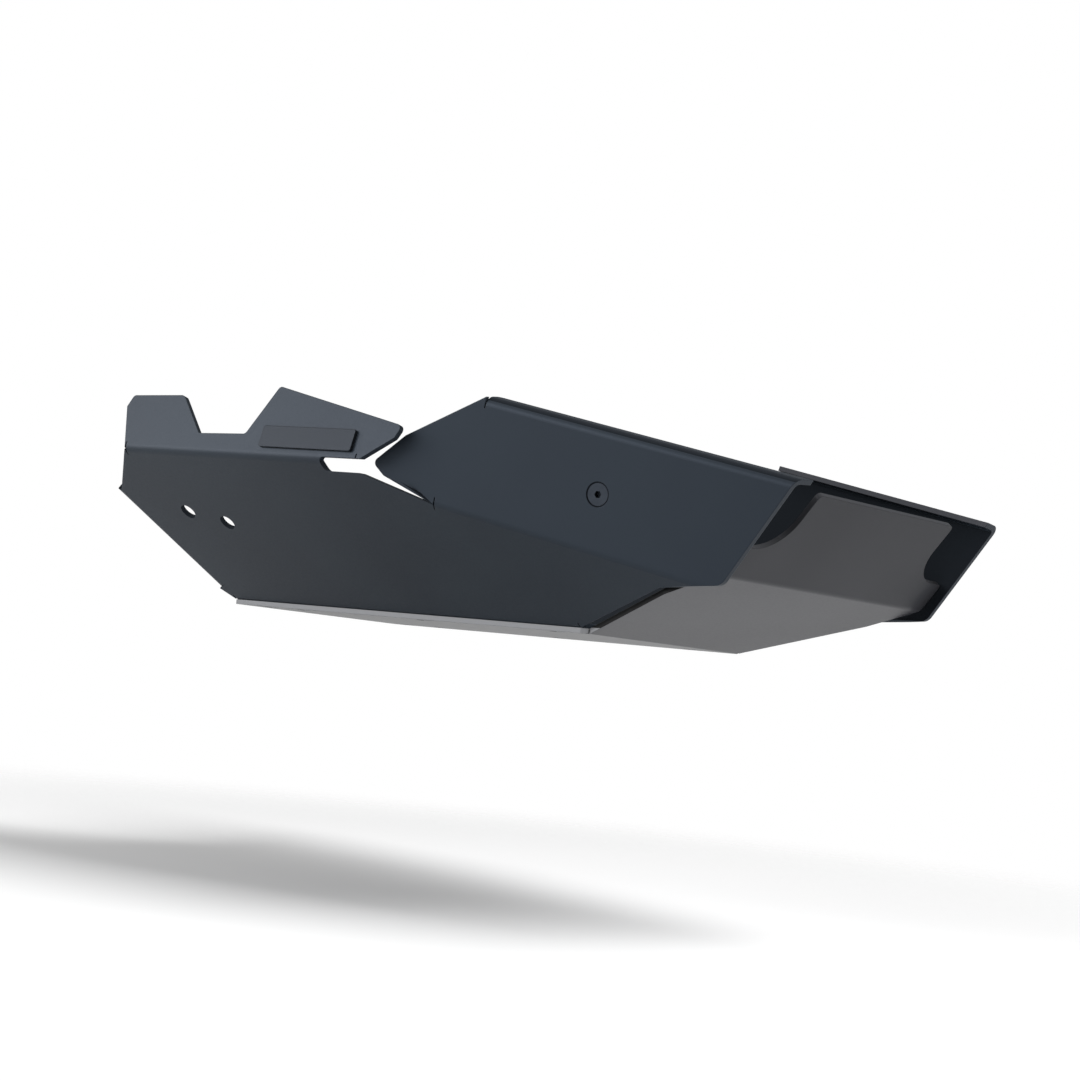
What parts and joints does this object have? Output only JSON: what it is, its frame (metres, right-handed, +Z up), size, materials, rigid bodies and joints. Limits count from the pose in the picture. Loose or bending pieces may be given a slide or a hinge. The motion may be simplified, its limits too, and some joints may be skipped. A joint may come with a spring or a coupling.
{
  "type": "motorcycle belly pan",
  "caption": "Folded sheet-metal belly pan: angular black side panels on a grey floor, chin and front plate, with rubber-mounted eyes to hang it under an engine.",
  "frame": {"origin": "bottom centre of the pan's box, on the underside of its floor", "axes": "+X forward along the motorcycle, +Y to its left, +Z up"},
  "size_m": [0.4127, 0.2874, 0.1052],
  "materials": {
    "black_powder_coat": "fine-textured satin black powder coat on aluminium sheet",
    "grey_powder_coat": "satin grey powder coat on aluminium sheet",
    "badge_aluminium": "satin black anodised plate",
    "bracket_steel": "black painted steel strip",
    "black_steel": "black oxide steel",
    "zinc_steel": "bright zinc plate",
    "grommet_rubber": "matt moulded rubber"
  },
  "bodies": {
    "root": {"centre_pan": "grey_powder_coat", "right_side_panel": "black_powder_coat", "right_badge_plate": "badge_aluminium", "right_front_bracket": "bracket_steel", "right_rear_bracket": "bracket_steel", "right_side_screw": "black_steel", "right_side_washer": "zinc_steel", "right_side_nut": "zinc_steel", "right_floor_screws": "zinc_steel", "right_floor_nuts": "zinc_steel", "right_front_grommet": "grommet_rubber", "right_front_sleeve": "zinc_steel", "right_rear_grommet": "grommet_rubber", "right_rear_sleeve": "zinc_steel", "left_side_panel": "black_powder_coat", "left_badge_plate": "badge_aluminium", "left_front_bracket": "bracket_steel", "left_rear_bracket": "bracket_steel", "left_side_screw": "black_steel", "left_side_washer": "zinc_steel", "left_side_nut": "zinc_steel", "left_floor_screws": "zinc_steel", "left_floor_nuts": "zinc_steel", "left_front_grommet": "grommet_rubber", "left_front_sleeve": "zinc_steel", "left_rear_grommet": "grommet_rubber", "left_rear_sleeve": "zinc_steel"}
  },
  "joints": []
}
